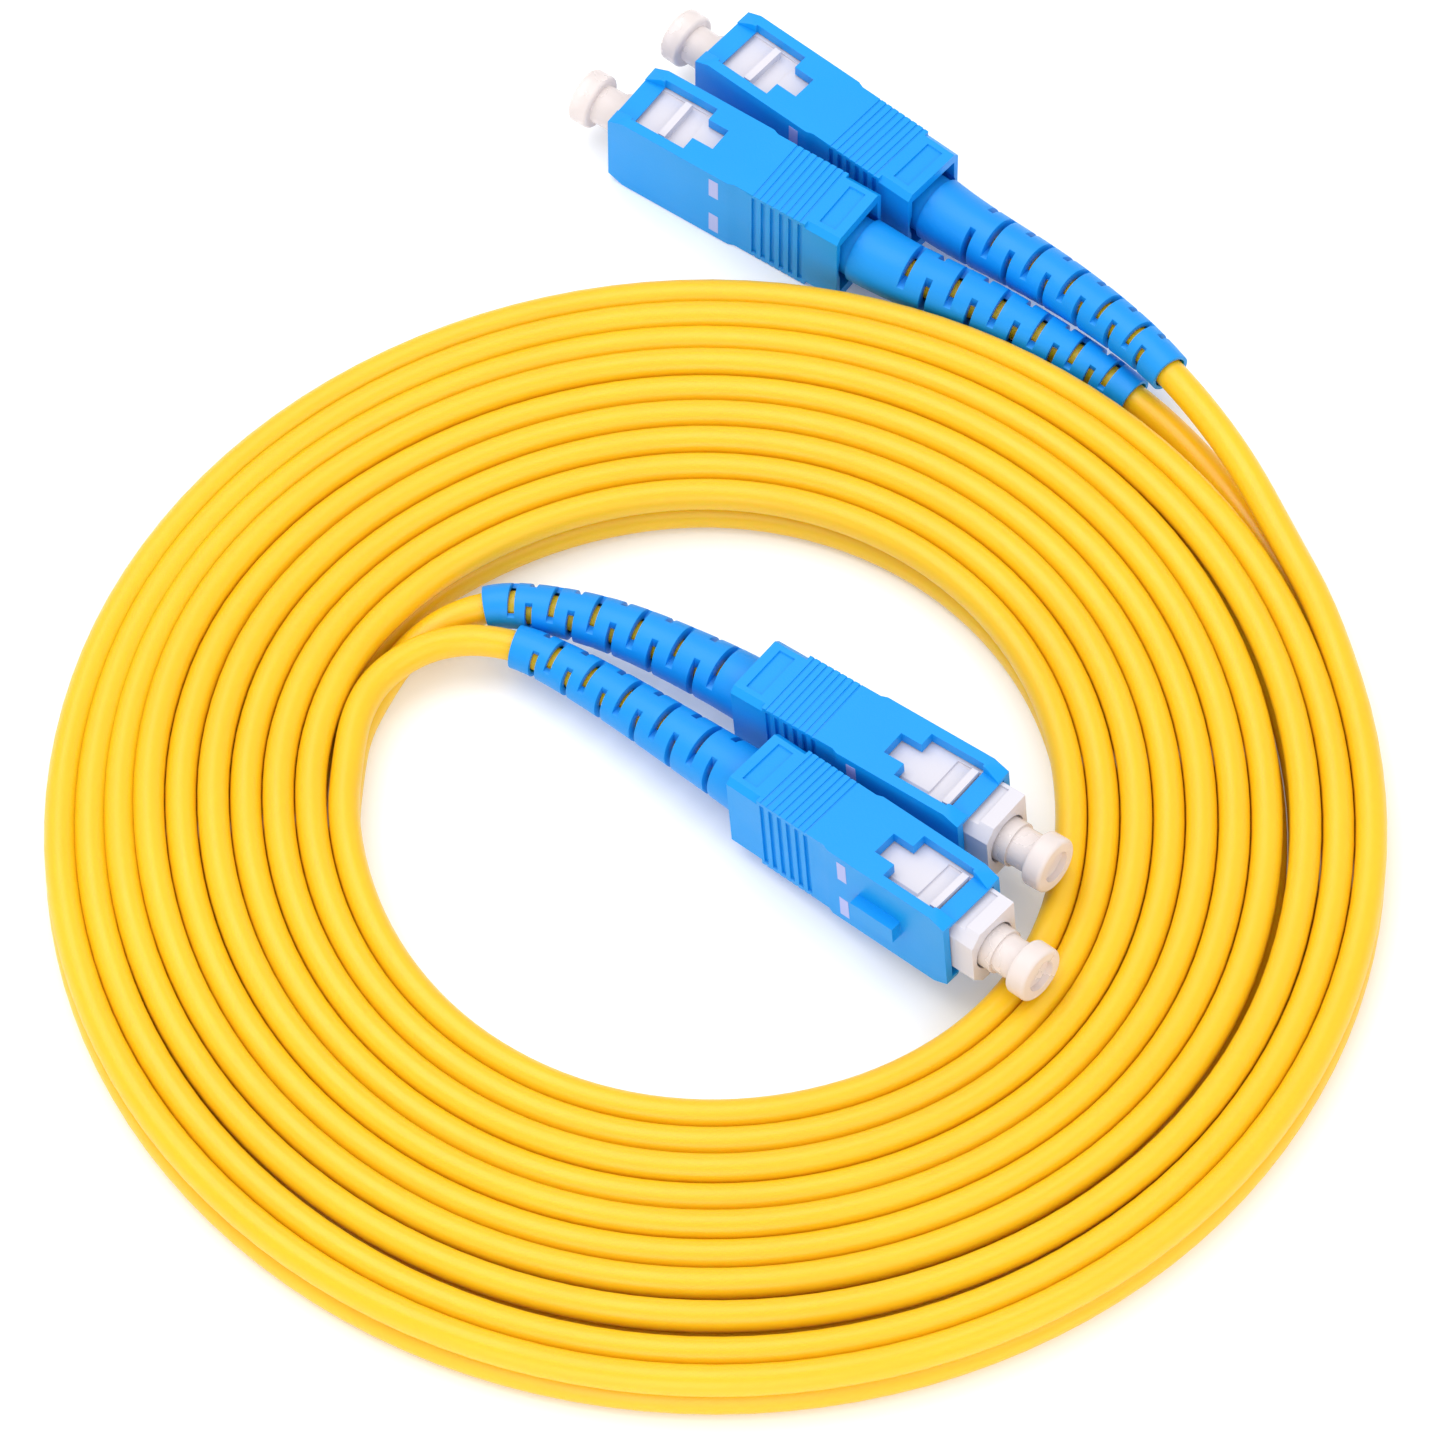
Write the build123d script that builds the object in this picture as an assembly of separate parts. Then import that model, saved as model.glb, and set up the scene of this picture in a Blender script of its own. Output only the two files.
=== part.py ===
from build123d import *
import math
import os

# A duplex fibre patch cord, wound into a flat spiral that lies on a table. Millimetres.
# Two round strands run side by side as a zip cord. In the coil they stand on edge, one above the other.
# Both ends split into two strands, and each strand ends in a push-pull SC plug with a dust cap.
# The origin is on the table, under the middle of the whole assembly's box. +Z is up.

# the zip cord and its coil
STRAND_D = 2.75          # outer diameter of one jacketed strand
STACK = 2.78             # height from the lower strand's centre to the upper one's
LOWER_Z = STRAND_D / 2
UPPER_Z = LOWER_Z + STACK
COIL_HEIGHT = UPPER_Z + STRAND_D / 2
COIL_CENTRE = (0.0, -15.0)
OUTER_RADIUS = 56.8      # centre line of the outermost full turn
TURN_PITCH = 2.83        # step from one turn to the next, towards the middle
STEP_ANGLE = 45.0        # each turn steps in round this direction, in degrees from +X
STEP_SPAN = 0.3          # and over this share of a turn
START_ANGLE = 22.0       # where the outer legs join the coil
END_ANGLE = 180.0        # where the inner legs leave it
TURN_COUNT = 10          # times that the cord passes the left side
SHIFT_X = -0.3           # the inner turns' centre, from the coil's
SHIFT_Y = 0.9
SETTLE_TURNS = 4.0       # turns over which the inner turns take that shift
LEG_BULGE = (154.0, 26.0, 1.5)     # direction, half width and height of the bulge round the inner legs
CAP_BULGE = (-38.0, 30.0, 0.9)     # the same beside the inner plugs' noses
OUTLINE_STEPS = 60       # straight faces in one turn of the coil's outline

# the SC plug, along its own axis: 0 at the plug frame's nose, and less towards the boot
GRIP_LENGTH = 24.9
GRIP_WIDTH = 7.4
GRIP_HEIGHT = 9.0
GRIP_REAR_WIDTH = 6.95
GRIP_TRAVEL = 2.4        # push-pull stroke of the grip on the plug frame
GRIP_STEP_START = 13.1
GRIP_STEP_END = 13.7
GRIP_REAR_BLOCK = 3.5
GRIP_CAVITY_WIDTH = 5.9
GRIP_CAVITY_HEIGHT = 6.8
GRIP_REAR_BORE = 6.4
GRIP_REAR_BORE_DEPTH = 3.0
NOSE_CHAMFER_LENGTH = 1.5
NOSE_CHAMFER_HEIGHT = 0.7
WINDOW_START = 1.9
WINDOW_STEP = 7.6
WINDOW_END = 9.8
WINDOW_WIDTH = 5.4
WINDOW_SLOT_WIDTH = 2.5
CHANNEL_FLOOR = 3.6      # height of the channel's floor above the axis
RAIL_FLARE_LENGTH = 3.1
RAIL_FLARE = 0.55
KEY_START = 5.05
KEY_END = 9.8
KEY_HEIGHT = 1.8
KEY_PROUD = 1.1
SIDE_GROOVES = 6
SIDE_GROOVE_PITCH = 1.0
SIDE_GROOVE_WIDTH = 0.5
SIDE_GROOVE_DEPTH = 0.25
TOP_GROOVES = 8
TOP_GROOVE_PITCH = 0.72
TOP_GROOVE_WIDTH = 0.2
TOP_GROOVE_DEPTH = 0.1
PANEL = (1.7, 4.8, 0.22)           # shallow blank panel on the rear block

FRAME_LENGTH = 17.5
FRAME_WIDTH = 5.6
FRAME_HEIGHT = 6.5
FRAME_CHAMFER = 1.1
FRAME_POCKET = (1.5, 7.0, 4.9, 0.25)
LATCH_CENTRE = 4.85
LATCH_SIZE = (0.7, 4.4, 0.85)
SOCKET_D = 4.6
SOCKET_DEPTH = 3.2
SHOULDER_END = 5.5
SHOULDER_HOLE_D = 2.8
FRAME_BORE_D = 4.9

FERRULE_D = 2.499
FERRULE_TIP = 3.6
FERRULE_REAR = 8.0
FERRULE_CHAMFER = 0.4
FLANGE_D = 4.5
FLANGE_START = 5.6
FLANGE_END = 7.4
FLANGE_TAIL_D = 3.0
FLANGE_TAIL_END = 11.5
FLANGE_TAIL_BORE = 1.5

SPRING_RADIUS = 1.95
SPRING_WIRE = 0.4
SPRING_START = 7.65
SPRING_TURNS = 5
SPRING_PITCH = 1.05

STOP_START = 13.2
STOP_D = 4.85
STOP_COLLAR_D = 5.5
STOP_COLLAR_END = 18.4
STOP_BARREL_D = 3.7
STOP_BARREL_END = 24.0
STOP_BORE = 1.6
STOP_MOUTH_BORE = 3.4
STOP_MOUTH_END = 14.6

YARN_D = 4.0
CRIMP_START = 18.6
CRIMP_D = 4.7
CRIMP_STEP = 24.6
CRIMP_SMALL_D = 3.9
CRIMP_END = 27.9
FIBRE_D = 0.9
FIBRE_START = 9.8

BOOT_START = 20.0
BOOT_NECK_D = 5.5
BOOT_WIDE_D = 6.1
BOOT_END_D = 3.9
BOOT_WIDE_START = 25.5
BOOT_LENGTH = 28.3       # from the wide end to the thin end, along the bend
BOOT_FRONT_BORE = 4.9
BOOT_FRONT_BORE_END = 28.4
BOOT_BORE = 3.2
BOOT_SECTIONS = 8
BOOT_SEAM_TURN = 33.0     # keeps the loft's seam off the slots' middles
SLOT_WIDTH = 0.65
SLOT_PITCH = 4.55
SLOT_PITCH_LOSS = 0.09   # the pitch shrinks towards the thin end
SLOT_FLOOR = 0.42        # a slot's floor, as a share of the boot's radius
TOP_SLOT_START = 5.2
TOP_SLOTS = 6
SIDE_SLOT_START = 7.3
SIDE_SLOTS = 5

CAP_BARREL_D = 4.2
CAP_START = 3.0
CAP_FLANGE_D = 5.2
CAP_NECK_START = 1.2
CAP_NECK_D = 3.7
CAP_FLANGE_START = 3.3
CAP_END = 5.3
CAP_BORE = 2.62
CAP_BORE_END = 4.2
CAP_DIMPLE = (3.0, 0.6)

STRAIGHT_RUN_END = 30.0  # the strand follows the plug's axis to here

# Each plug: its grip's nose (from the coil's centre), heading and rise in degrees, how far the grip is pulled
# back, the side its key is on (1 is its left), the side its frame is chamfered on, its strand's height in the
# coil, and how far its boot is turned round the strand. Then come the points of its strand's route, from the
# plug's axis to the coil.
PLUGS = {
    "a1": {
        "nose": (0.57, 82.77, 4.5), "heading": 139.5, "rise": 0.0, "back": 0.0,
        "key": -1, "chamfer": 1, "strand": UPPER_Z, "boot_turn": 90, "joins": "outer",
        "route": [
            (28.4, 59.3, 5.05), (33.6, 54.5, 5.75), (38.4, 49.35, 6.2), (42.75, 43.6, 6.0),
            (46.6, 37.5, 5.25), (49.9, 30.3, 4.4),
        ],
    },
    "a2": {
        "nose": (-7.57, 76.18, 4.5), "heading": 145.0, "rise": 0.0, "back": 0.0,
        "key": -1, "chamfer": 1, "strand": LOWER_Z, "boot_turn": 0, "joins": "outer",
        "route": [
            (23.45, 55.8, 4.15), (29.5, 52.35, 3.35), (35.4, 48.5, 2.55), (40.55, 43.67, 1.9),
            (44.86, 38.15, 1.5), (48.86, 31.22, 1.385),
        ],
    },
    "b1": {
        "nose": (22.12, -13.85, 7.9), "heading": -41.2, "rise": 4.6, "back": GRIP_TRAVEL,
        "key": -1, "chamfer": -1, "strand": UPPER_Z, "boot_turn": 90, "joins": "inner",
        "route": [
            (-3.5, 8.5, 5.15), (-8.5, 12.7, 4.65), (-13.6, 16.5, 4.35), (-17.8, 18.8, 4.2),
            (-22.06, 19.4, 4.16), (-26.1, 18.2, 4.155), (-29.6, 15.2, 4.155), (-31.35, 11.4, 4.155),
            (-32.0, 6.9, 4.155),
        ],
    },
    "b2": {
        "nose": (23.3, -2.95, 7.9), "heading": -37.7, "rise": 4.6, "back": GRIP_TRAVEL,
        "key": 1, "chamfer": -1, "strand": LOWER_Z, "boot_turn": 0, "joins": "inner",
        "route": [
            (-3.9, 17.4, 5.35), (-9.6, 20.4, 5.1), (-15.4, 22.3, 4.75), (-20.0, 23.0, 4.05),
            (-24.2, 21.9, 2.9), (-27.5, 19.1, 1.85), (-29.7, 15.2, 1.4), (-31.4, 11.2, 1.375),
            (-32.0, 6.9, 1.375),
        ],
    },
}

SHORTER_RUN_SHARE = 0.45


def smooth_step(x):
    x = min(max(x, 0.0), 1.0)
    return x * x * (3 - 2 * x)


def bulge(angle, shape):
    centre, width, height = shape
    off = (angle - centre + 180) % 360 - 180
    return height * math.exp(-((off / width) ** 2))


def coil_radius(turns):
    """The centre line's radius, at a number of turns clockwise from the direction STEP_ANGLE."""
    angle = STEP_ANGLE - 360 * turns
    whole = round(turns)
    layers = whole - 1 + smooth_step((turns - whole) / STEP_SPAN + 0.5)
    shift = SHIFT_X * math.cos(math.radians(angle)) + SHIFT_Y * math.sin(math.radians(angle))
    uneven = shift + bulge(angle, LEG_BULGE) + bulge(angle, CAP_BULGE)
    return OUTER_RADIUS - TURN_PITCH * layers + uneven * smooth_step(turns / SETTLE_TURNS)


def coil_point(turns, offset=0.0):
    angle = math.radians(STEP_ANGLE - 360 * turns)
    radius = coil_radius(turns) + offset
    return (radius * math.cos(angle), radius * math.sin(angle))


START_TURNS = (STEP_ANGLE - START_ANGLE) / 360
END_TURNS = TURN_COUNT + (STEP_ANGLE - END_ANGLE) / 360


def coil():
    """The outer shape of the whole winding: a flat ring with a step where each end of the cord leaves it."""
    half = STRAND_D / 2
    outer = [coil_point(START_TURNS + k / OUTLINE_STEPS, half) for k in range(OUTLINE_STEPS + 1)]
    inner = [coil_point(END_TURNS - k / OUTLINE_STEPS, -half) for k in range(OUTLINE_STEPS + 1)]
    ring = plan_prism(outer, 0, COIL_HEIGHT) - plan_prism(inner, -1, COIL_HEIGHT + 1)
    return ring


def plan_prism(points, low, high):
    outline = Polyline(*[(x, y, low) for x, y in points], close=True)
    return extrude(make_face(outline), amount=high - low, dir=(0, 0, 1))


def side_prism(points, near, far):
    outline = Polyline(*[(x, near, z) for x, z in points], close=True)
    return extrude(make_face(outline), amount=far - near, dir=(0, 1, 0))


def block(x_from, x_to, width, z_from, z_to, y=0.0):
    middle = Pos((x_from + x_to) / 2, y, (z_from + z_to) / 2)
    return middle * Box(abs(x_to - x_from), width, abs(z_to - z_from))


def rod(x_from, x_to, diameter):
    return Pos((x_from + x_to) / 2, 0, 0) * Rot(0, 90, 0) * Cylinder(diameter / 2, abs(x_to - x_from))


def grip(plug):
    """The push-pull housing, with its nose at 0."""
    wide, narrow, tall = GRIP_WIDTH / 2, GRIP_REAR_WIDTH / 2, GRIP_HEIGHT / 2
    block_front = GRIP_REAR_BLOCK - GRIP_LENGTH
    plan = [
        (0, -wide), (0, wide), (-GRIP_STEP_START, wide), (-GRIP_STEP_END, narrow),
        (block_front, narrow), (block_front, -narrow), (-GRIP_STEP_END, -narrow), (-GRIP_STEP_START, -wide),
    ]
    low_nose = tall - NOSE_CHAMFER_HEIGHT
    side = [
        (0, -low_nose), (0, low_nose), (-NOSE_CHAMFER_LENGTH, tall),
        (block_front, tall), (block_front, -tall), (-NOSE_CHAMFER_LENGTH, -tall),
    ]
    body = plan_prism(plan, -tall, tall) & side_prism(side, -wide, wide)
    rear = block(-GRIP_LENGTH, block_front, GRIP_REAR_WIDTH, -tall, tall)
    body += chamfer(rear.edges().filter_by(Axis.X), 0.55)
    body += block(-KEY_END, -KEY_START, KEY_PROUD + 0.1, -KEY_HEIGHT / 2, KEY_HEIGHT / 2,
                  plug["key"] * (wide + KEY_PROUD / 2 - 0.05))
    body -= block(-GRIP_LENGTH - 1, 1, GRIP_CAVITY_WIDTH, -GRIP_CAVITY_HEIGHT / 2, GRIP_CAVITY_HEIGHT / 2)
    body -= rod(-GRIP_LENGTH - 1, -GRIP_LENGTH + GRIP_REAR_BORE_DEPTH, GRIP_REAR_BORE)
    for up in (-1, 1):
        body -= block(-WINDOW_STEP, -WINDOW_START, WINDOW_WIDTH, up * 3, up * (tall + 1))
        body -= block(-WINDOW_END, -WINDOW_STEP + 0.1, WINDOW_SLOT_WIDTH, up * 3, up * (tall + 1))
        channel = block(-WINDOW_START - 0.1, 1, WINDOW_WIDTH, up * CHANNEL_FLOOR, up * (tall + 1))
        for left in (-1, 1):
            edge = left * WINDOW_WIDTH / 2
            flared = edge - left * RAIL_FLARE
            flare = [(-RAIL_FLARE_LENGTH, edge), (0, flared), (2, flared), (2, edge)]
            channel -= plan_prism(flare, -tall - 2, tall + 2)
        body -= channel
        for k in range(TOP_GROOVES):
            x = block_front + 0.4 + k * TOP_GROOVE_PITCH
            body -= block(x, x + TOP_GROOVE_WIDTH, 10, up * (tall - TOP_GROOVE_DEPTH), up * (tall + 1))
        length, width, depth = PANEL
        x = -GRIP_LENGTH + 0.95
        body -= block(x, x + length, width, up * (tall - depth), up * (tall + 1))
    for left in (-1, 1):
        for k in range(SIDE_GROOVES):
            x = block_front + 0.3 + k * SIDE_GROOVE_PITCH
            body -= block(x, x + SIDE_GROOVE_WIDTH, 2 * SIDE_GROOVE_DEPTH, -tall + 0.45, tall - 0.45,
                          left * narrow)
    return Pos(-plug["back"], 0, 0) * body


def plug_frame(plug):
    half_w, half_h = FRAME_WIDTH / 2, FRAME_HEIGHT / 2
    body = block(-FRAME_LENGTH, 0, FRAME_WIDTH, -half_h, half_h)
    edges = body.edges().filter_by(Axis.X).filter_by(lambda e: e.center().Y * plug["chamfer"] > 0)
    body = chamfer(edges, FRAME_CHAMFER)
    front, rear, width, depth = FRAME_POCKET
    length, span, height = LATCH_SIZE
    for up in (-1, 1):
        body -= block(-rear, -front, width, up * (half_h - depth), up * (half_h + 1))
        body += block(-LATCH_CENTRE - length / 2, -LATCH_CENTRE + length / 2, span,
                      up * (half_h - depth - 0.05), up * (half_h - depth + height))
    body -= rod(-SOCKET_DEPTH, 1, SOCKET_D)
    body -= rod(-SHOULDER_END - 1, 1, SHOULDER_HOLE_D)
    body -= rod(-FRAME_LENGTH - 1, -SHOULDER_END, FRAME_BORE_D)
    return body


def ferrule(plug):
    body = rod(-FERRULE_REAR, FERRULE_TIP, FERRULE_D)
    return chamfer(body.edges().group_by(Axis.X)[-1], FERRULE_CHAMFER)


def ferrule_flange(plug):
    body = rod(-FLANGE_END, -FLANGE_START, FLANGE_D) + rod(-FLANGE_TAIL_END, -FLANGE_END, FLANGE_TAIL_D)
    body -= rod(-FERRULE_REAR, 0, FERRULE_D)
    body -= rod(-FLANGE_TAIL_END - 1, -FERRULE_REAR, FLANGE_TAIL_BORE)
    return body


def spring(plug):
    path = Helix(SPRING_PITCH, SPRING_PITCH * SPRING_TURNS, SPRING_RADIUS)
    wire = sweep(Plane(origin=path @ 0, z_dir=path % 0) * Circle(SPRING_WIRE / 2), path)
    return Pos(-SPRING_START, 0, 0) * Rot(0, -90, 0) * wire


def stop_ring(plug):
    body = rod(-FRAME_LENGTH - 0.05, -STOP_START, STOP_D)
    body += rod(-STOP_COLLAR_END, -FRAME_LENGTH - 0.05, STOP_COLLAR_D)
    body += rod(-STOP_BARREL_END, -STOP_COLLAR_END, STOP_BARREL_D)
    body -= rod(-STOP_MOUTH_END, 0, STOP_MOUTH_BORE)
    body -= rod(-STOP_BARREL_END - 1, 0, STOP_BORE)
    return body


def aramid_yarn(plug):
    """The strength yarn, spread as a sleeve over the stop ring's barrel."""
    return rod(-STOP_BARREL_END, -CRIMP_START, YARN_D) - rod(-CRIMP_END, 0, STOP_BARREL_D)


def crimp_ring(plug):
    body = rod(-CRIMP_STEP, -CRIMP_START, CRIMP_D) + rod(-CRIMP_END, -CRIMP_STEP, CRIMP_SMALL_D)
    body -= rod(-STOP_BARREL_END - 0.1, 0, YARN_D)
    body -= rod(-CRIMP_END - 1, 0, STRAND_D)
    return body


def fibre(plug):
    return rod(-BOOT_WIDE_START, -FIBRE_START, FIBRE_D)


def dust_cap(plug):
    body = rod(-CAP_START, CAP_NECK_START, CAP_BARREL_D) + rod(CAP_NECK_START, CAP_END - 1, CAP_NECK_D)
    flange = rod(CAP_FLANGE_START, CAP_END, CAP_FLANGE_D)
    body += fillet(flange.edges().filter_by(GeomType.CIRCLE), 0.35)
    body -= rod(-CAP_START - 1, CAP_BORE_END, CAP_BORE)
    diameter, depth = CAP_DIMPLE
    return body - rod(CAP_END - depth, CAP_END + 1, diameter)


def plug_plane(plug):
    """The plug's own axes: X to its nose, Z up. The origin is the plug frame's nose."""
    heading, rise = math.radians(plug["heading"]), math.radians(plug["rise"])
    along = Vector(math.cos(heading) * math.cos(rise), math.sin(heading) * math.cos(rise), math.sin(rise))
    left = Vector(-math.sin(heading), math.cos(heading), 0)
    return Plane(origin=Vector(*plug["nose"]) + along * plug["back"], x_dir=along, z_dir=along.cross(left))


def leg_points(plug):
    plane = plug_plane(plug)
    start = [plane.origin - plane.x_dir * BOOT_WIDE_START, plane.origin - plane.x_dir * STRAIGHT_RUN_END]
    turns = START_TURNS if plug["joins"] == "outer" else END_TURNS
    return start + [Vector(*p) for p in plug["route"]] + [Vector(*coil_point(turns), plug["strand"])]


def corner_radii(points):
    radii = []
    for before, corner, after in zip(points, points[1:], points[2:]):
        first, second = corner - before, after - corner
        turn = math.radians(first.get_angle(second))
        radii.append(SHORTER_RUN_SHARE * min(first.length, second.length) / math.tan(turn / 2))
    return radii


def leg_path(plug):
    points = leg_points(plug)
    return FilletPolyline(*points, radius=corner_radii(points))


def tube(path, diameter):
    return sweep(Plane(origin=path @ 0, z_dir=path % 0) * Circle(diameter / 2), path)


def boot(plug, path):
    """The bend relief: a slotted taper that follows the strand's own path."""
    def radius_at(length):
        return (BOOT_WIDE_D + (BOOT_END_D - BOOT_WIDE_D) * length / BOOT_LENGTH) / 2

    def plane_at(length):
        point = path.position_at(length, position_mode=PositionMode.LENGTH)
        along = path.tangent_at(length, position_mode=PositionMode.LENGTH)
        left = Vector(0, 0, 1).cross(along).normalized()
        return Plane(origin=point, x_dir=along, z_dir=along.cross(left))

    sections = []
    for k in range(BOOT_SECTIONS):
        length = BOOT_LENGTH * k / (BOOT_SECTIONS - 1)
        frame = plane_at(length)
        section = Plane(origin=frame.origin, x_dir=frame.z_dir, z_dir=frame.x_dir)
        sections.append(section * Rot(0, 0, BOOT_SEAM_TURN) * Circle(radius_at(length)))
    body = loft(sections)
    for start, count, quarter in ((TOP_SLOT_START, TOP_SLOTS, 0), (SIDE_SLOT_START, SIDE_SLOTS, 90)):
        for k in range(count):
            length = start + k * SLOT_PITCH - k * k * SLOT_PITCH_LOSS
            slot = block(-SLOT_WIDTH / 2, SLOT_WIDTH / 2, 9, SLOT_FLOOR * radius_at(length), 5)
            for half_turn in (0, 180):
                body -= plane_at(length).location * Rot(quarter + half_turn + plug["boot_turn"], 0, 0) * slot
    place = plug_plane(plug).location
    body += place * rod(-BOOT_WIDE_START - 0.2, -BOOT_START, BOOT_NECK_D)
    body -= place * rod(-BOOT_FRONT_BORE_END, -BOOT_START + 1, BOOT_FRONT_BORE)
    return body - tube(path, BOOT_BORE)


PIECES = {
    "grip": grip,
    "plug_frame": plug_frame,
    "ferrule": ferrule,
    "ferrule_flange": ferrule_flange,
    "spring": spring,
    "stop_ring": stop_ring,
    "aramid_yarn": aramid_yarn,
    "crimp_ring": crimp_ring,
    "fibre": fibre,
    "dust_cap": dust_cap,
}


def save(name, shape):
    placed = Pos(COIL_CENTRE[0], COIL_CENTRE[1], 0) * shape
    placed.label = name
    export_step(placed, f"parts/{name}.step")
    box = placed.bounding_box()
    low = [round(v, 2) for v in box.min]
    high = [round(v, 2) for v in box.max]
    print(f"{name}: volume {placed.volume:.2f}, box {low} to {high}")
    return box


def main():
    os.makedirs("parts", exist_ok=True)
    boxes = [save("cord_coil", coil())]
    for name, plug in PLUGS.items():
        place = plug_plane(plug).location
        for piece, build in PIECES.items():
            boxes.append(save(f"{piece}_{name}", place * build(plug)))
        path = leg_path(plug)
        boxes.append(save(f"boot_{name}", boot(plug, path)))
        leg = tube(path, STRAND_D)
        boxes.append(save(f"leg_{name}", leg))
        ideal = math.pi * (STRAND_D / 2) ** 2 * path.length
        print(f"leg_{name}: length {path.length:.1f}, volume {leg.volume:.1f}, ideal volume {ideal:.1f}")
        radii = [round(r / STRAND_D, 1) for r in corner_radii(leg_points(plug))]
        print("  corner radii in diameters:", radii)
    low = [min(tuple(box.min)[k] for box in boxes) for k in range(3)]
    high = [max(tuple(box.max)[k] for box in boxes) for k in range(3)]
    print("whole box", [round(v, 2) for v in low], [round(v, 2) for v in high])
    print("its middle", [round((a + b) / 2, 2) for a, b in zip(low, high)])


main()
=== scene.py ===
import math
import bmesh
import bpy
from mathutils import Matrix, Vector


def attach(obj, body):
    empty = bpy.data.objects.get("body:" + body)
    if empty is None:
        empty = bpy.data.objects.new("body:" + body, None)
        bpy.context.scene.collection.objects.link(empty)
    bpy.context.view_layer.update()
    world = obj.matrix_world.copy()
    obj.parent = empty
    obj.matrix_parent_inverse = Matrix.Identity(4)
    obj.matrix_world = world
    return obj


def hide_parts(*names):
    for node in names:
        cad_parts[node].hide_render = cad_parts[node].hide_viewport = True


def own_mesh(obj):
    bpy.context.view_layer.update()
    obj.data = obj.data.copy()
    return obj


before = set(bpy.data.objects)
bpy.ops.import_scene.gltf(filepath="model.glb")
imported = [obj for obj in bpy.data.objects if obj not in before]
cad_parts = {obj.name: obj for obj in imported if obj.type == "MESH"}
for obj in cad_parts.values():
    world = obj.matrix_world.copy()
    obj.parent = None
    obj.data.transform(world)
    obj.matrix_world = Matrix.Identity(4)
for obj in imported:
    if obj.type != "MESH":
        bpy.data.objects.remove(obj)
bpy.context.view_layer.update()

# A duplex fibre patch cord, wound in a flat spiral.
# The lengths named here are millimetres unless a comment says otherwise, and mm() turns them into metres.
COIL_CENTRE = (0.0, -15.0)
STRAND_D = 2.75
STACK = 2.78
LOWER_Z = STRAND_D / 2
UPPER_Z = LOWER_Z + STACK
OUTER_RADIUS = 56.8
TURN_PITCH = 2.83
STEP_ANGLE = 45.0
STEP_SPAN = 0.3
START_ANGLE = 22.0
END_ANGLE = 180.0
TURN_COUNT = 10
SHIFT_X = -0.3           # the inner turns' centre lies this far from the outer ones'
SHIFT_Y = 0.9
SETTLE_TURNS = 4.0       # the turns that it takes to get there
# bulges of the inner turns: a direction and a half width in degrees, and a height
LEG_BULGE = (154.0, 26.0, 1.5)
CAP_BULGE = (-38.0, 30.0, 0.9)
START_TURNS = (STEP_ANGLE - START_ANGLE) / 360
END_TURNS = TURN_COUNT + (STEP_ANGLE - END_ANGLE) / 360
POINTS_A_TURN = 24
POINT_RADIUS = 0.001     # a curve's box counts its points' radius in metres, so that is kept small
FULLER = 1.012           # the flat-sided tube is drawn this much larger, so that its area is the round one's
UPPER_LIFT = 0.16        # the upper turns rise and fall by this much either side of it
LIFT_WAVE = 3.7          # radians of that rise and fall in each turn
LIFT_END = 9             # from this turn on they lie flat
# gaps in the upper winding: they open after so many turns, each with a direction, a half width and a size
UPPER_GAPS = [(0.5, (-90, 45, -0.3)), (1.6, (-90, 45, 0.35)), (2.1, (-20, 75, 0.5))]
# the lower winding spreads outwards with the first of them only, so it shows through the others
LOWER_GAPS = UPPER_GAPS[:1]
BOOT_WIDE_START = 25.5
STRAIGHT_RUN_END = 30.0
GRIP_WIDTH = 7.4

# each plug: its housing's nose, its heading and rise in degrees, how far its housing is pulled back,
# and the strand's route from the boot into the winding
PLUGS = {
    "a1": {
        "nose": (0.57, 82.77, 4.5), "heading": 139.5, "rise": 0.0, "back": 0.0,
        "route": [
            (28.4, 59.3, 5.05), (33.6, 54.5, 5.75), (38.4, 49.35, 6.2), (42.75, 43.6, 6.0),
            (46.6, 37.5, 5.25), (49.9, 30.3, 4.4),
        ],
    },
    "a2": {
        "nose": (-7.57, 76.18, 4.5), "heading": 145.0, "rise": 0.0, "back": 0.0,
        "route": [
            (23.45, 55.8, 4.15), (29.5, 52.35, 3.35), (35.4, 48.5, 2.55), (40.55, 43.67, 1.9),
            (44.86, 38.15, 1.5), (48.86, 31.22, 1.385),
        ],
    },
    "b1": {
        "nose": (22.12, -13.85, 7.9), "heading": -41.2, "rise": 4.6, "back": 2.4,
        "route": [
            (-3.5, 8.5, 5.15), (-8.5, 12.7, 4.65), (-13.6, 16.5, 4.35), (-17.8, 18.8, 4.2),
            (-22.06, 19.4, 4.16), (-26.1, 18.2, 4.155), (-29.6, 15.2, 4.155), (-31.35, 11.4, 4.155),
            (-32.0, 6.9, 4.155),
        ],
    },
    "b2": {
        "nose": (23.3, -2.95, 7.9), "heading": -37.7, "rise": 4.6, "back": 2.4,
        "route": [
            (-3.9, 17.4, 5.35), (-9.6, 20.4, 5.1), (-15.4, 22.3, 4.75), (-20.0, 23.0, 4.05),
            (-24.2, 21.9, 2.9), (-27.5, 19.1, 1.85), (-29.7, 15.2, 1.4), (-31.4, 11.2, 1.375),
            (-32.0, 6.9, 1.375),
        ],
    },
}


def mm(x, y, z):
    """A point given from the coil's centre, in the shared frame."""
    return Vector((x + COIL_CENTRE[0], y + COIL_CENTRE[1], z)) / 1000


# ---------------------------------------------------------------- camera

CAMERA_ELEVATION = 56.07
CAMERA_DISTANCE = 1069.0
CAMERA_AIM_ABOVE = 0.5975


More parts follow.
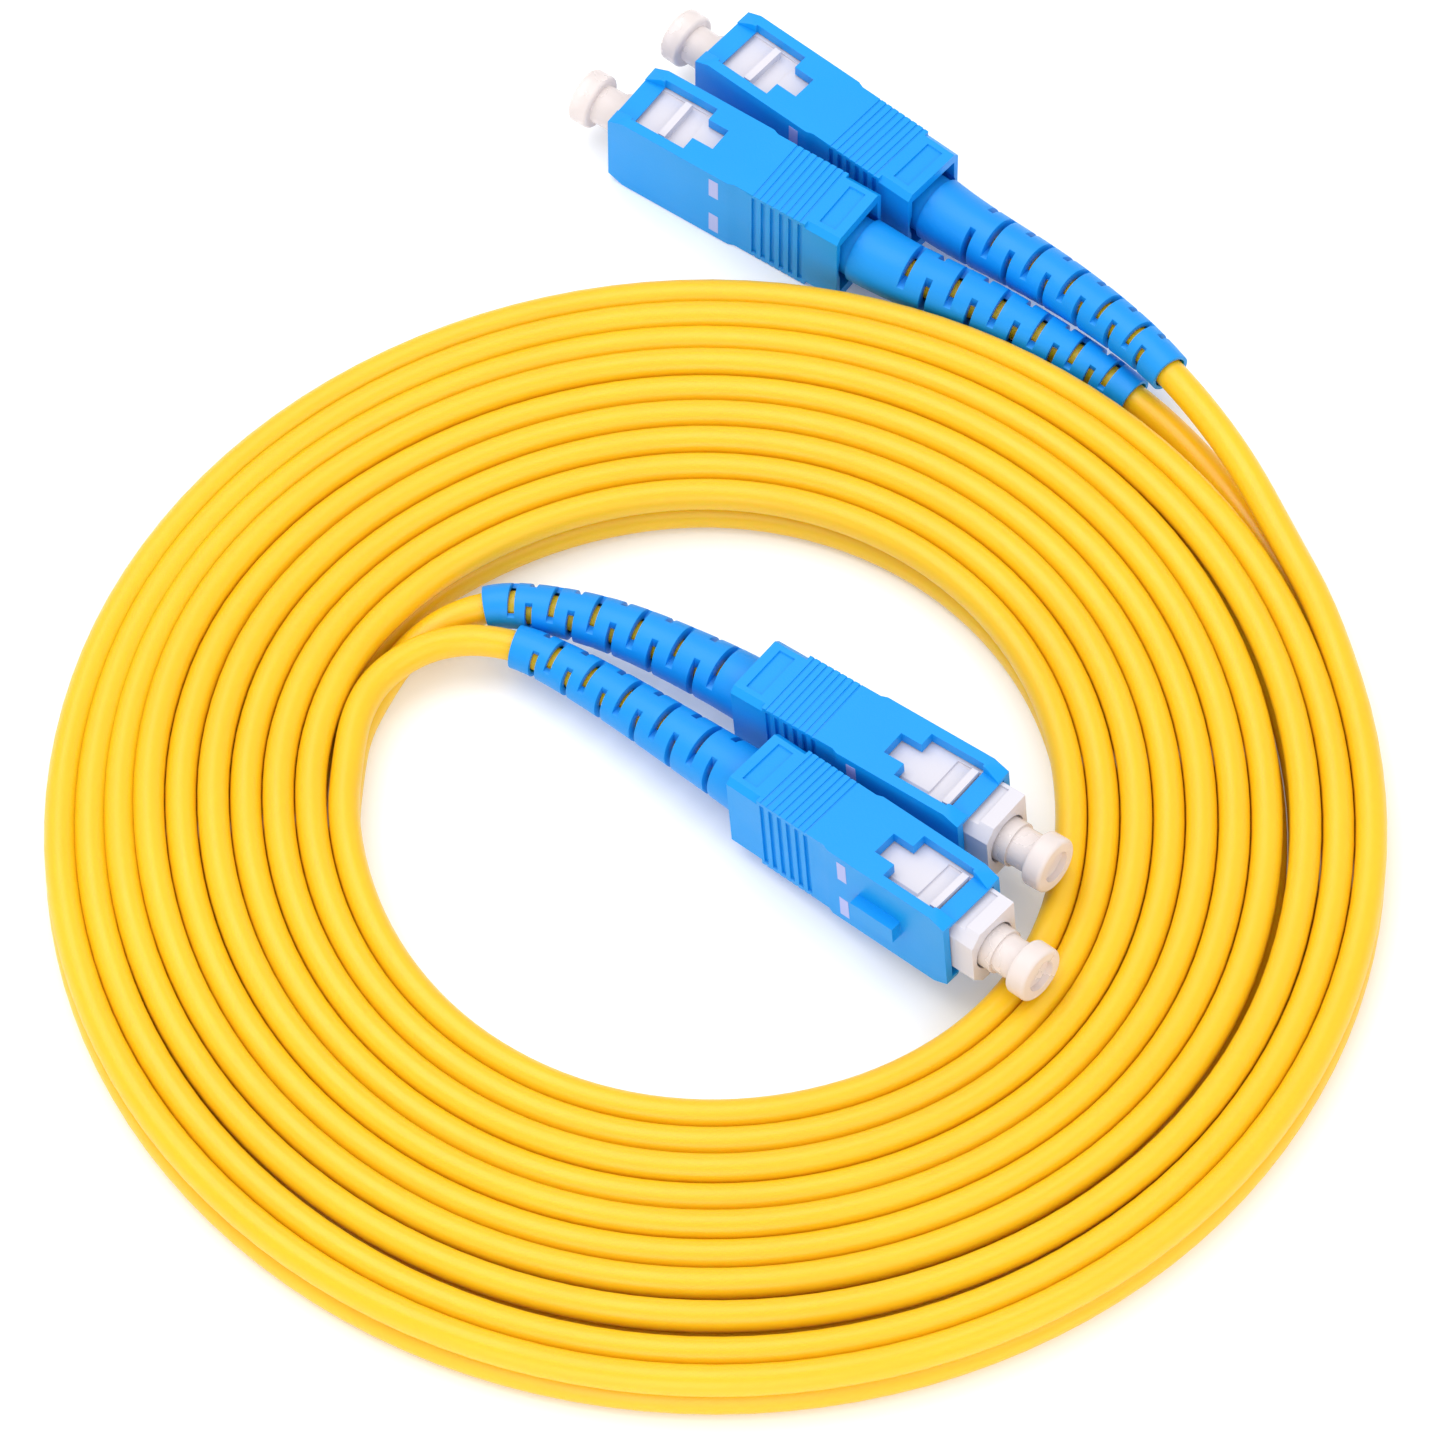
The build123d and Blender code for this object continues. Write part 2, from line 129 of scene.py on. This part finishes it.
def make_camera():
    data = bpy.data.cameras.new("photo_camera")
    data.sensor_fit = "VERTICAL"
    data.sensor_height = 36
    data.lens = 306.87
    data.clip_start = 0.05
    data.clip_end = 20
    camera = bpy.data.objects.new("photo_camera", data)
    tall = math.radians(CAMERA_ELEVATION)
    camera.location = mm(0, -CAMERA_DISTANCE * math.cos(tall), CAMERA_DISTANCE * math.sin(tall))
    camera.rotation_euler = (math.radians(90 - CAMERA_ELEVATION + CAMERA_AIM_ABOVE), 0, 0)
    bpy.context.scene.collection.objects.link(camera)
    bpy.context.scene.camera = camera


make_camera()

# ---------------------------------------------------------------- routes


def smooth_step(x):
    """0 below 0, 1 above 1, and smooth between them."""
    x = min(max(x, 0.0), 1.0)
    return x * x * (3 - 2 * x)


def bulge(angle, shape):
    """A smooth hump in the radius, round one direction."""
    centre, width, height = shape
    off = (angle - centre + 180) % 360 - 180
    return height * math.exp(-((off / width) ** 2))


def coil_radius(turns):
    """The even spiral: circles, with a step inwards at the same place in each turn."""
    angle = STEP_ANGLE - 360 * turns
    whole = round(turns)
    layers = whole - 1 + smooth_step((turns - whole) / STEP_SPAN + 0.5)
    shift = SHIFT_X * math.cos(math.radians(angle)) + SHIFT_Y * math.sin(math.radians(angle))
    uneven = shift + bulge(angle, LEG_BULGE) + bulge(angle, CAP_BULGE)
    return OUTER_RADIUS - TURN_PITCH * layers + uneven * smooth_step(turns / SETTLE_TURNS)


def uneven_lay(turns, gaps):
    """How far the real winding strays from the even spiral, inwards and upwards, in millimetres."""
    angle = STEP_ANGLE - 360 * turns
    inwards = sum(smooth_step(turns - first) * bulge(angle, shape) for first, shape in gaps)
    settled = smooth_step(turns / 2) * smooth_step(LIFT_END - turns)
    upwards = UPPER_LIFT * (1 + math.sin(turns * LIFT_WAVE)) * settled
    return inwards, upwards


def plug_matrix(plug):
    """The plug's own axes, in metres: X to its nose, Z up, and 0 at the plug frame's nose."""
    heading, rise = math.radians(plug["heading"]), math.radians(plug["rise"])
    along = Vector((math.cos(heading) * math.cos(rise), math.sin(heading) * math.cos(rise), math.sin(rise)))
    left = Vector((-math.sin(heading), math.cos(heading), 0))
    origin = mm(*plug["nose"]) + along * plug["back"] / 1000
    turn = Matrix((along, left, along.cross(left))).transposed().to_4x4()
    return Matrix.Translation(origin) @ turn


def leg_points(plug):
    """The strand's points from inside the boot to the winding."""
    place = plug_matrix(plug)
    start = [place @ Vector((-x / 1000, 0, 0)) for x in (BOOT_WIDE_START, STRAIGHT_RUN_END)]
    return start + [mm(*p) for p in plug["route"]]


def coil_points(height, gaps):
    """The strand's points round the winding, from the outside in."""
    steps = round((END_TURNS - START_TURNS) * POINTS_A_TURN)
    points = []
    for k in range(steps + 1):
        turns = START_TURNS + (END_TURNS - START_TURNS) * k / steps
        angle = math.radians(STEP_ANGLE - 360 * turns)
        inwards, upwards = uneven_lay(turns, gaps)
        radius = (coil_radius(turns) - inwards) / math.cos(math.pi / POINTS_A_TURN)
        level = height + upwards * smooth_step((height - LOWER_Z) / STACK)
        points.append(mm(radius * math.cos(angle), radius * math.sin(angle), level))
    return points


def make_strand(name, outer, inner, height, gaps):
    points = leg_points(PLUGS[outer]) + coil_points(height, gaps) + leg_points(PLUGS[inner])[::-1]
    data = bpy.data.curves.new(name, "CURVE")
    data.dimensions = "3D"
    data.resolution_u = 5
    data.bevel_depth = FULLER * STRAND_D / 2000 / POINT_RADIUS
    data.bevel_resolution = 6
    data.use_fill_caps = True
    spline = data.splines.new("NURBS")
    spline.points.add(len(points) - 1)
    for target, point in zip(spline.points, points):
        target.co = (*point, 1)
        target.radius = POINT_RADIUS
    spline.order_u = 3
    spline.use_endpoint_u = True
    strand = bpy.data.objects.new(name, data)
    bpy.context.scene.collection.objects.link(strand)
    return strand


def centre_line(strand):
    """The points of the strand's own smooth line."""
    data = strand.data.copy()
    data.bevel_depth = 0
    bare = bpy.data.objects.new("bare_line", data)
    bpy.context.scene.collection.objects.link(bare)
    bpy.context.view_layer.update()
    mesh = bpy.data.meshes.new_from_object(bare.evaluated_get(bpy.context.evaluated_depsgraph_get()))
    line = [v.co.copy() for v in mesh.vertices]
    bpy.data.objects.remove(bare)
    bpy.data.curves.remove(data)
    bpy.data.meshes.remove(mesh)
    return line


upper = make_strand("strand_upper", "a1", "b1", UPPER_Z, UPPER_GAPS)
lower = make_strand("strand_lower", "a2", "b2", LOWER_Z, LOWER_GAPS)
upper_line = centre_line(upper)
lower_line = centre_line(lower)

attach(upper, "cord")
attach(lower, "cord")
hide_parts("cord_coil", "leg_a1", "leg_b1")
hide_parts("leg_a2", "leg_b2")


# ---------------------------------------------------------------- materials


def new_material(name):
    material = bpy.data.materials.new(name)
    material.use_nodes = True
    nodes = material.node_tree.nodes
    return material, nodes, material.node_tree.links, nodes["Principled BSDF"]


def add_noise(nodes, links, scale, detail=3.0):
    coordinates = nodes.new("ShaderNodeTexCoord")
    noise = nodes.new("ShaderNodeTexNoise")
    noise.inputs["Scale"].default_value = scale
    noise.inputs["Detail"].default_value = detail
    links.new(coordinates.outputs["Object"], noise.inputs["Vector"])
    return noise.outputs["Fac"]


def map_range(nodes, links, value, low, high, start=0.3, end=0.7):
    node = nodes.new("ShaderNodeMapRange")
    node.inputs["From Min"].default_value = start
    node.inputs["From Max"].default_value = end
    node.inputs["To Min"].default_value = low
    node.inputs["To Max"].default_value = high
    links.new(value, node.inputs["Value"])
    return node.outputs["Result"]


def mix_colours(nodes, links, value, first, second):
    node = nodes.new("ShaderNodeMix")
    node.data_type = "RGBA"
    node.inputs["A"].default_value = (*first, 1)
    node.inputs["B"].default_value = (*second, 1)
    links.new(value, node.inputs["Factor"])
    return node.outputs["Result"]


def moulded(name, colour, second, roughness, grain=0.00002, grain_scale=4000.0):
    """A moulded or extruded plastic: a slow drift of colour and roughness, and a fine grain."""
    material, nodes, links, shader = new_material(name)
    drift = map_range(nodes, links, add_noise(nodes, links, 60.0), 0, 1)
    links.new(mix_colours(nodes, links, drift, colour, second), shader.inputs["Base Color"])
    patches = add_noise(nodes, links, 220.0, 4.0)
    worn = map_range(nodes, links, patches, roughness - 0.06, roughness + 0.06)
    links.new(worn, shader.inputs["Roughness"])
    bump = nodes.new("ShaderNodeBump")
    bump.inputs["Strength"].default_value = 0.5
    bump.inputs["Distance"].default_value = grain
    links.new(add_noise(nodes, links, grain_scale, 2.0), bump.inputs["Height"])
    links.new(bump.outputs["Normal"], shader.inputs["Normal"])
    return material, shader


jacket, jacket_shader = moulded("yellow_jacket", (0.90, 0.545, 0.010), (0.88, 0.515, 0.008), 0.36)
jacket_shader.inputs["Subsurface Weight"].default_value = 0.35
jacket_shader.inputs["Subsurface Radius"].default_value = (1.0, 0.35, 0.04)
jacket_shader.inputs["Subsurface Scale"].default_value = 0.0015
blue_housing, housing_shader = moulded("blue_housing", (0.003, 0.315, 0.82), (0.002, 0.295, 0.79), 0.38)
housing_shader.inputs["Specular IOR Level"].default_value = 0.32
blue_boot, boot_shader = moulded("blue_boot", (0.003, 0.290, 0.81), (0.002, 0.270, 0.77), 0.45)
boot_shader.inputs["Specular IOR Level"].default_value = 0.35
white_frame, _ = moulded("white_frame", (0.71, 0.68, 0.735), (0.68, 0.65, 0.70), 0.42)
print_white, _ = moulded("print_white", (0.46, 0.50, 0.86), (0.40, 0.45, 0.80), 0.6)
cap_plastic, cap_shader = moulded("cap_plastic", (0.95, 0.87, 0.85), (0.94, 0.84, 0.81), 0.25)
cap_shader.inputs["Transmission Weight"].default_value = 0.28
cap_shader.inputs["IOR"].default_value = 1.25
zirconia, _ = moulded("zirconia", (0.90, 0.89, 0.87), (0.87, 0.86, 0.84), 0.12)
fibre_buffer, _ = moulded("buffered_fibre", (0.86, 0.86, 0.84), (0.82, 0.82, 0.80), 0.4)
aramid, _ = moulded("aramid", (0.72, 0.50, 0.08), (0.60, 0.40, 0.05), 0.8, grain=0.0002, grain_scale=1500.0)


def metal(name, colour, second, roughness):
    material, shader = moulded(name, colour, second, roughness, grain=0.000005)
    shader.inputs["Metallic"].default_value = 1.0
    return material


nickel_silver = metal("nickel_silver", (0.60, 0.57, 0.48), (0.55, 0.52, 0.44), 0.28)
spring_steel = metal("spring_steel", (0.50, 0.50, 0.52), (0.45, 0.45, 0.47), 0.3)
stop_metal = metal("stop_ring_metal", (0.62, 0.48, 0.22), (0.57, 0.44, 0.2), 0.3)
crimp_metal = metal("crimp_metal", (0.60, 0.60, 0.62), (0.55, 0.55, 0.57), 0.33)

upper.data.materials.append(jacket)
lower.data.materials.append(jacket)

FINISHES = {
    "cord_coil": jacket, "leg": jacket, "grip": blue_housing, "boot": blue_boot, "plug_frame": white_frame,
    "dust_cap": cap_plastic, "ferrule": zirconia, "ferrule_flange": nickel_silver, "spring": spring_steel,
    "stop_ring": stop_metal, "crimp_ring": crimp_metal, "aramid_yarn": aramid, "fibre": fibre_buffer,
}

# ---------------------------------------------------------------- CAD nodes

EDGE_ROUND = {"grip": 0.12, "plug_frame": 0.1, "boot": 0.08, "crimp_ring": 0.08, "stop_ring": 0.06}


def round_edges(node, width):
    """Join the CAD faces, then bevel the edges between them."""
    weld = node.modifiers.new("weld", "WELD")
    weld.merge_threshold = 0.000002
    bevel = node.modifiers.new("edge_round", "BEVEL")
    bevel.width = width
    bevel.segments = 2
    bevel.limit_method = "ANGLE"
    bevel.angle_limit = math.radians(35)
    bevel.use_clamp_overlap = True
    normals = node.modifiers.new("even_normals", "WEIGHTED_NORMAL")
    normals.keep_sharp = True


def dress_node(name, node):
    """Give a CAD node its material and, for the kinds in EDGE_ROUND, its rounded edges."""
    kind = name if name in FINISHES else name.rsplit("_", 1)[0]
    node.data.materials.clear()
    node.data.materials.append(FINISHES[kind])
    for face in node.data.polygons:
        face.use_smooth = True
    if kind in EDGE_ROUND:
        round_edges(node, EDGE_ROUND[kind] / 1000)


for name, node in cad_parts.items():
    dress_node(name, node)

# ---------------------------------------------------------------- the web between the strands

WEB_THICKNESS = 0.9
WEB_FROM = 0.3           # the web starts this share of the way from one centre line to the other
JOINED = 3.2             # the strands are joined where their centre lines are nearer than this


def make_piece(name, bm, material, body, smooth=True):
    mesh = bpy.data.meshes.new(name)
    bm.normal_update()
    bm.to_mesh(mesh)
    bm.free()
    mesh.materials.append(material)
    for face in mesh.polygons:
        face.use_smooth = smooth
    piece = bpy.data.objects.new(name, mesh)
    bpy.context.scene.collection.objects.link(piece)
    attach(piece, body)
    return piece


def skin_rings(bm, rings):
    """Join rings of points into a closed tube."""
    sides = len(rings[0])
    for ring, following in zip(rings, rings[1:]):
        for k in range(sides):
            after = (k + 1) % sides
            bm.faces.new((ring[k], ring[after], following[after], following[k]))
    bm.faces.new(rings[0][::-1])
    bm.faces.new(rings[-1])
    bmesh.ops.recalc_face_normals(bm, faces=bm.faces)


def make_web():
    """A thin strip of jacket that joins the two strands wherever they run together."""
    pairs = [(a, b) for a, b in zip(lower_line, upper_line) if (b - a).length < JOINED / 1000]
    bm = bmesh.new()
    rings = []
    for k, (low, high) in enumerate(pairs):
        before, after = pairs[max(k - 1, 0)][0], pairs[min(k + 1, len(pairs) - 1)][0]
        side = (after - before).cross(high - low).normalized() * WEB_THICKNESS / 2000
        bottom = low.lerp(high, WEB_FROM)
        top = low.lerp(high, 1 - WEB_FROM)
        rings.append([bm.verts.new(p) for p in (bottom - side, bottom + side, top + side, top - side)])
    skin_rings(bm, rings)
    make_piece("strand_web", bm, jacket, "cord")


make_web()

# ---------------------------------------------------------------- printed marks

MARK_FROM_NOSE = 11.6
MARK_HEIGHT = 2.5
MARK_SIZE = (1.0, 2.4)
MARK_THICKNESS = 0.05


def make_marks(name, plug):
    """Two plain white printed bars on each tall side of the housing."""
    place = plug_matrix(plug)
    bm = bmesh.new()
    for side in (-1, 1):
        for up in (-1, 1):
            centre = Vector((-plug["back"] - MARK_FROM_NOSE, side * GRIP_WIDTH / 2, up * MARK_HEIGHT)) / 1000
            size = (MARK_SIZE[0] / 1000, MARK_THICKNESS / 1000, MARK_SIZE[1] / 1000, 1)
            where = place @ Matrix.Translation(centre) @ Matrix.Diagonal(size)
            bmesh.ops.create_cube(bm, size=1, matrix=where)
    make_piece(f"print_marks_{name}", bm, print_white, f"grip_{name}", smooth=False)


# ---------------------------------------------------------------- springs

SPRING_RADIUS = 1.95
SPRING_WIRE = 0.4
SPRING_START = 7.65
SPRING_TURNS = 5
SPRING_PITCH = 1.05
SPRING_SIDES = 10
STEPS_A_COIL = 28


def spring_ring(turns):
    """The wire's outline so many turns along the spring, in the plug's own axes."""
    angle = 2 * math.pi * turns
    outwards = Vector((0, math.sin(angle), math.cos(angle)))
    centre = SPRING_RADIUS * outwards - Vector((SPRING_START + SPRING_PITCH * turns, 0, 0))
    backwards = -SPRING_PITCH / (2 * math.pi * SPRING_RADIUS)
    run = Vector((backwards, math.cos(angle), -math.sin(angle))).normalized()
    across = run.cross(outwards)
    sides = [2 * math.pi * k / SPRING_SIDES for k in range(SPRING_SIDES)]
    offsets = [(outwards * math.cos(a) + across * math.sin(a)) * SPRING_WIRE / 2 for a in sides]
    return [(centre + offset) / 1000 for offset in offsets]


def make_spring(name, plug):
    """The plug's coil spring, a wire tube wound round the plug's axis."""
    place = plug_matrix(plug)
    bm = bmesh.new()
    steps = SPRING_TURNS * STEPS_A_COIL
    rings = [[bm.verts.new(place @ p) for p in spring_ring(k / STEPS_A_COIL)] for k in range(steps + 1)]
    skin_rings(bm, rings)
    spring = make_piece(f"coil_spring_{name}", bm, spring_steel, "cord")
    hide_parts(f"spring_{name}")
    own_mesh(spring)


for name, plug in PLUGS.items():
    make_marks(name, plug)
    make_spring(name, plug)

# ---------------------------------------------------------------- floor and light


def make_floor():
    bm = bmesh.new()
    bmesh.ops.create_grid(bm, x_segments=1, y_segments=1, size=3)
    mesh = bpy.data.meshes.new("floor")
    bm.to_mesh(mesh)
    bm.free()
    material, _, _, shader = new_material("floor_white")
    shader.inputs["Base Color"].default_value = (0.92, 0.935, 0.955, 1)
    shader.inputs["Emission Color"].default_value = (1, 1, 1, 1)
    shader.inputs["Emission Strength"].default_value = 0.12
    shader.inputs["Roughness"].default_value = 0.9
    shader.inputs["Specular IOR Level"].default_value = 0.1
    mesh.materials.append(material)
    floor = bpy.data.objects.new("floor", mesh)
    floor.location.z = -0.0001
    bpy.context.scene.collection.objects.link(floor)


def make_light(name, place, target, size, power, colour=(1, 1, 1)):
    data = bpy.data.lights.new(name, "AREA")
    data.shape = "SQUARE"
    data.size = size
    data.energy = power
    data.color = colour
    light = bpy.data.objects.new(name, data)
    light.location = place
    light.rotation_euler = (Vector(target) - Vector(place)).to_track_quat("-Z", "Y").to_euler()
    bpy.context.scene.collection.objects.link(light)


def make_world():
    world = bpy.data.worlds.new("studio")
    world.use_nodes = True
    background = world.node_tree.nodes["Background"]
    background.inputs["Color"].default_value = (1, 1, 1, 1)
    background.inputs["Strength"].default_value = 0.78
    bpy.context.scene.world = world


make_floor()
make_world()
make_light("key", (-0.35, 0.25, 1.15), (0, 0, 0), 1.1, 8.5)
make_light("fill", (0.7, -0.5, 0.8), (0, 0, 0), 0.8, 2.0)
make_light("front", (-0.15, -1.1, 0.45), (0, 0, 0), 0.9, 4.2, (0.82, 0.91, 1.0))
bpy.context.scene.view_settings.view_transform = "Standard"
